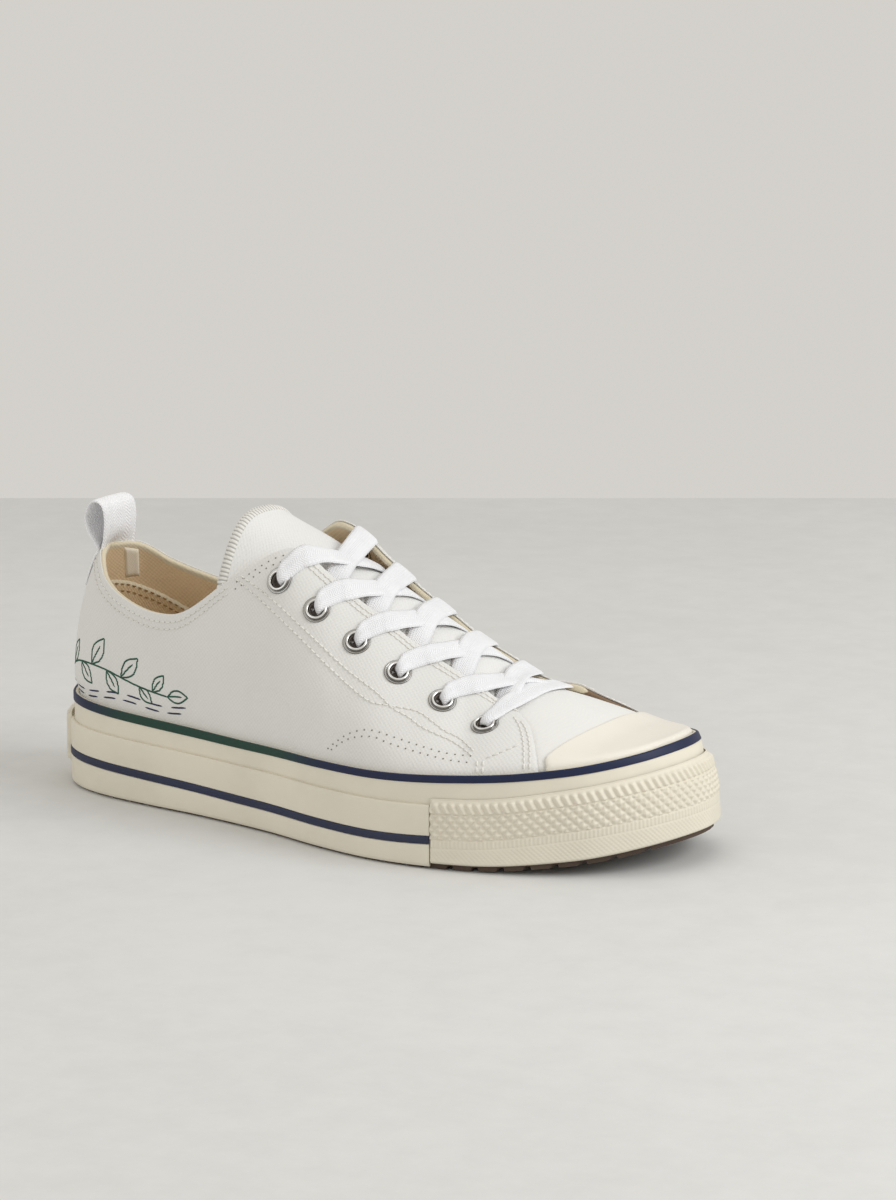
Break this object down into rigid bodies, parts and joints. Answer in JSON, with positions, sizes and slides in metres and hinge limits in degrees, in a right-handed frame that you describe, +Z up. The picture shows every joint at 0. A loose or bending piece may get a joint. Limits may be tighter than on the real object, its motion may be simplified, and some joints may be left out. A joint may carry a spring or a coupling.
{
  "type": "canvas sneaker",
  "caption": "Low canvas sneaker for the right foot on a thick rubber sole with a ribbed toe band, smooth toe cap, metal eyelets, flat lace and a heel pull loop.",
  "frame": {"origin": "centre of the bounding box in plan, at the floor under the sole", "axes": "+X runs from the heel towards the toe, +Y to the wearer's left, which is the inner side of this right shoe, +Z up"},
  "size_m": [0.271, 0.1038, 0.1111],
  "materials": {
    "canvas": "off-white cotton canvas, plain weave",
    "cotton": "bright white woven cotton tape",
    "foxing_rubber": "matt cream rubber",
    "toe_rubber": "smooth satin off-white rubber",
    "stripe_rubber": "dark navy rubber, turning green along the waist",
    "outsole_rubber": "matt dark brown rubber",
    "nickel": "bright nickel plate",
    "insole_cloth": "tan cotton drill"
  },
  "bodies": {
    "root": {"outsole": "outsole_rubber", "sole_body": "foxing_rubber", "foxing_tape": "foxing_rubber", "lower_stripe": "stripe_rubber", "top_stripe": "stripe_rubber", "toe_bumper": "foxing_rubber", "heel_patch": "foxing_rubber", "insole": "insole_cloth", "upper": "canvas", "toe_cap": "toe_rubber", "tongue": "canvas", "pull_loop": "cotton", "lace_cross_1": "cotton", "lace_cross_2": "cotton", "lace_cross_3": "cotton", "lace_cross_4": "cotton", "lace_cross_5": "cotton", "lace_bar": "cotton", "eyelet_outer_1": "nickel", "eyelet_outer_2": "nickel", "eyelet_outer_3": "nickel", "eyelet_outer_4": "nickel", "eyelet_outer_5": "nickel", "eyelet_outer_6": "nickel", "eyelet_inner_1": "nickel", "eyelet_inner_2": "nickel", "eyelet_inner_3": "nickel", "eyelet_inner_4": "nickel", "eyelet_inner_5": "nickel", "eyelet_inner_6": "nickel"}
  },
  "joints": []
}
